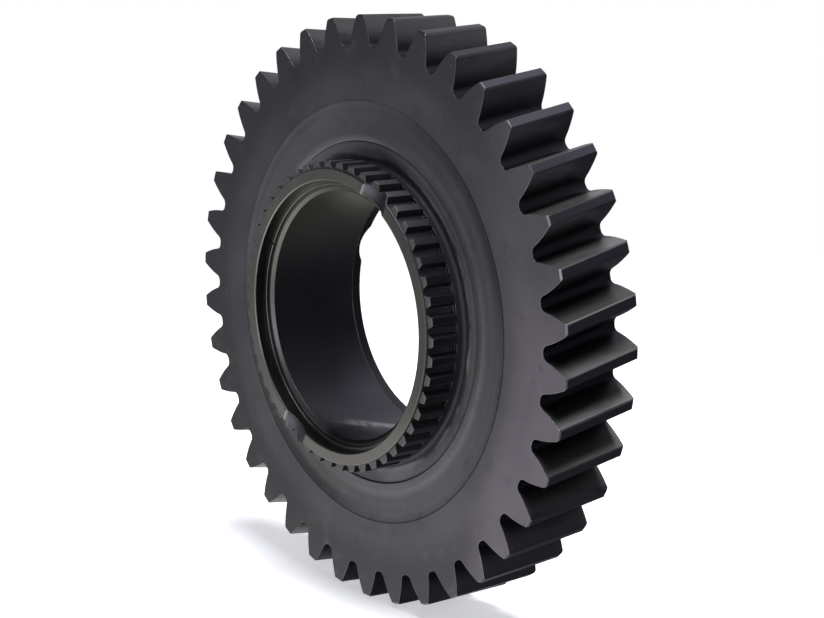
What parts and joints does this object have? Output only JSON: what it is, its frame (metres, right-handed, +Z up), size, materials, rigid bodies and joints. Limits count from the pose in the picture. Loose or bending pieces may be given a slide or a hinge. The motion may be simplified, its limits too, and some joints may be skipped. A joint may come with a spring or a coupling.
{
  "type": "helical gear",
  "caption": "Helical gear wheel with a raised hub ring of straight clutch teeth, turning freely on a plain bush that a retaining ring keeps in its bore.",
  "frame": {"origin": "on the axis of rotation, at the middle of the toothed rim's width, inside the bush's bore", "axes": "+Y along the axis of rotation, away from the hub and its clutch teeth; +Z up; +X to the right as seen from the hub side"},
  "size_m": [0.244, 0.0535, 0.244],
  "materials": {
    "gear_steel": "case-hardened gear steel, blue-black and satin, with ground end faces and fine turning marks",
    "bush_steel": "dark ground steel, smooth and slightly oily",
    "ring_steel": "spring steel, dark and slightly polished on its edges"
  },
  "bodies": {
    "bush": {"bearing_bush": "bush_steel"},
    "wheel": {"gear_wheel": "gear_steel", "retaining_ring": "ring_steel"}
  },
  "joints": [
    {"name": "wheel_spin", "type": "hinge", "parent": "bush", "child": "wheel", "pos_m": [0, 0, 0], "axis": [0, 1, 0], "continuous": true}
  ]
}
